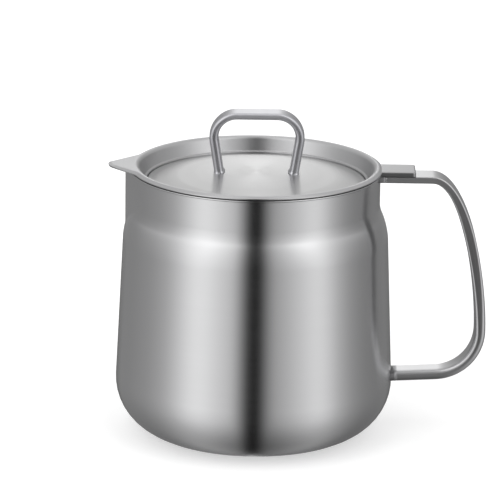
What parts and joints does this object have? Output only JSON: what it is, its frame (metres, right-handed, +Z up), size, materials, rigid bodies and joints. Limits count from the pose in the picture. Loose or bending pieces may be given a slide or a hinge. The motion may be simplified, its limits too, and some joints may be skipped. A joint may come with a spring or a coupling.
{
  "type": "grease container",
  "caption": "Steel pouring pot with a side handle, a lift-out strainer with beak and tab, and a recessed lid with a loop.",
  "frame": {"origin": "on the table under the pot's axis", "axes": "+X from the axis towards the handle, the spout is on -X; +Z up along the pot axis"},
  "size_m": [0.191, 0.1398, 0.1656],
  "materials": {
    "pot_shell": "satin brushed round the axis",
    "pot_handle": "satin brushed along its length",
    "strainer_rim": "satin brushed round the axis",
    "strainer_tab": "satin brushed along its length",
    "strainer_mesh": "woven wire",
    "mesh_ring": "satin",
    "lid_plate": "fine concentric brushing",
    "lid_loop": "polished satin"
  },
  "bodies": {
    "pot": {"pot_shell": "pot_shell", "pot_handle": "pot_handle"},
    "strainer": {"strainer_rim": "strainer_rim", "strainer_tab": "strainer_tab", "strainer_mesh": "strainer_mesh", "mesh_ring": "mesh_ring"},
    "lid": {"lid_plate": "lid_plate", "lid_loop": "lid_loop"}
  },
  "joints": [
    {"name": "strainer_lift", "type": "slide", "parent": "pot", "child": "strainer", "axis": [0, 0, 1], "range_m": [0, 0.06]},
    {"name": "lid_lift", "type": "slide", "parent": "strainer", "child": "lid", "axis": [0, 0, 1], "range_m": [0, 0.05]}
  ]
}
